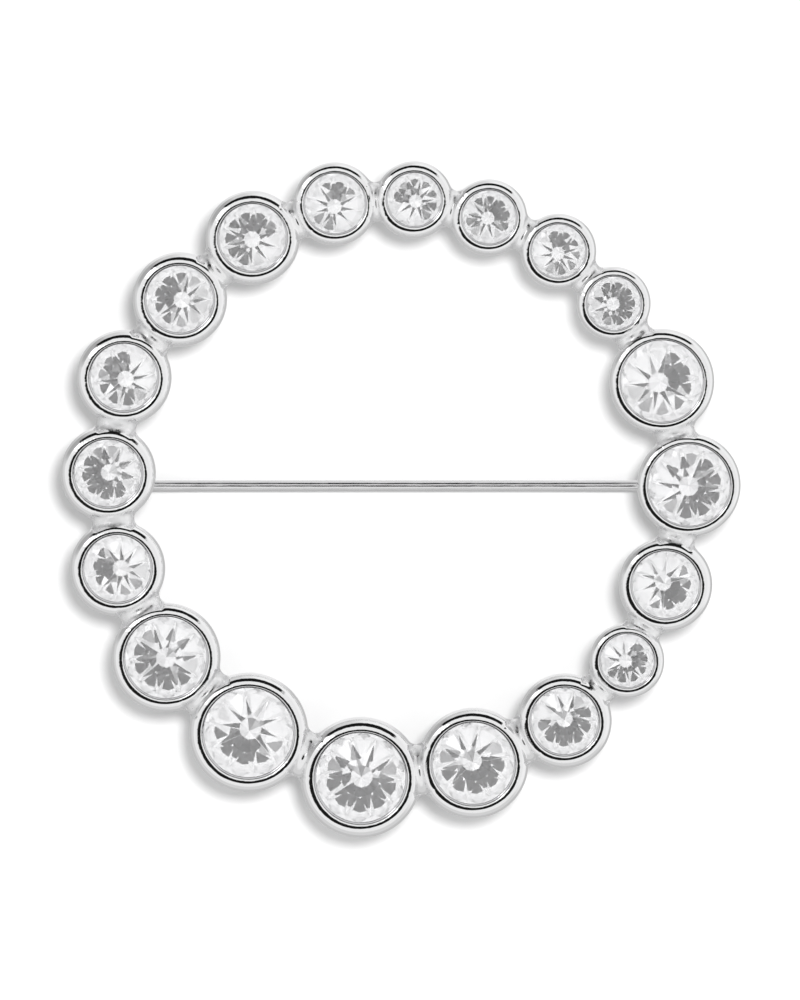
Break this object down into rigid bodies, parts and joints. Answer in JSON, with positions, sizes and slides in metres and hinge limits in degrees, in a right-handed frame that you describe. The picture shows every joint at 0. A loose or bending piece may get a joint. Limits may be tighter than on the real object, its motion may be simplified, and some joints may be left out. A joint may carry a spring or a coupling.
{
  "type": "circle pin brooch",
  "caption": "Round brooch: a ring of bezel-set foiled clear stones in bright metal, with a hinged straight pin stem across its back.",
  "frame": {"origin": "centre of the brooch's outline, at the level of the surface that it lies on", "axes": "+Z out of the brooch's face, +Y up the coat, +X from the pin's hinge towards its catch"},
  "size_m": [0.051, 0.0508, 0.0063],
  "materials": {
    "bright_metal": "polished rhodium plate on cast white metal",
    "wire": "bright plated steel wire",
    "crystal": "clear faceted glass, silver foiled back"
  },
  "bodies": {
    "brooch": {"frame": "bright_metal", "hinge_rivet": "wire", "stone_01": "crystal", "stone_02": "crystal", "stone_03": "crystal", "stone_04": "crystal", "stone_05": "crystal", "stone_06": "crystal", "stone_07": "crystal", "stone_08": "crystal", "stone_09": "crystal", "stone_10": "crystal", "stone_11": "crystal", "stone_12": "crystal", "stone_13": "crystal", "stone_14": "crystal", "stone_15": "crystal", "stone_16": "crystal", "stone_17": "crystal", "stone_18": "crystal", "stone_19": "crystal"},
    "pin": {"pin_stem": "wire"}
  },
  "joints": [
    {"name": "pin_hinge", "type": "hinge", "parent": "brooch", "child": "pin", "pos_m": [-0.02193, 0.00104, 0.0008], "axis": [0, 1, 0], "range_deg": [0, 100]}
  ]
}
